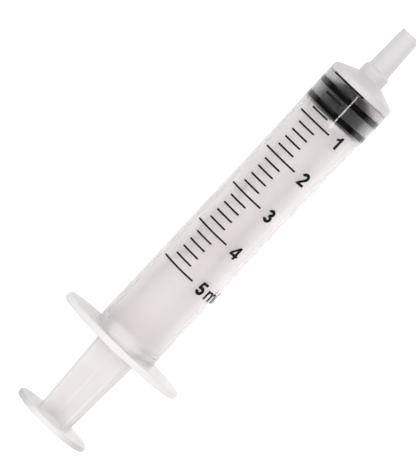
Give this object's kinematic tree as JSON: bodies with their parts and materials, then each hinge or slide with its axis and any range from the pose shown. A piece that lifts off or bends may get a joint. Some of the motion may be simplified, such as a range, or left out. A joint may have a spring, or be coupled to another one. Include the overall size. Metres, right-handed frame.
{
  "type": "oral syringe",
  "caption": "Oral dosing syringe with a slip-tip nozzle, winged finger flange, ribbed plunger rod with oval thumb rest, rubber stopper and a millilitre scale.",
  "frame": {"origin": "centre of the nozzle's end face, on the barrel's axis", "axes": "+X along the barrel's axis, out of the nozzle; Y across the wings of the finger flange; +Z towards the printed side of the barrel"},
  "size_m": [0.0963, 0.0274, 0.0146],
  "materials": {
    "clear_polypropylene": "translucent, glossy moulded",
    "white_polypropylene": "milky white, satin moulded",
    "black_rubber": "smooth moulded, lightly siliconed",
    "black_ink": "printed"
  },
  "bodies": {
    "barrel": {"barrel": "clear_polypropylene", "major_graduations": "black_ink", "minor_graduations": "black_ink", "scale_numerals": "black_ink"},
    "stopper": {"stopper": "black_rubber"},
    "rod": {"plunger_rod": "white_polypropylene"}
  },
  "joints": [
    {"name": "stopper_slide", "type": "slide", "parent": "barrel", "child": "stopper", "axis": [-1, 0, 0], "range_m": [-0.0015, 0.0535]},
    {"name": "rod_turn", "type": "hinge", "parent": "stopper", "child": "rod", "pos_m": [-0.02065, 0, 0], "axis": [1, 0, 0], "continuous": true}
  ]
}
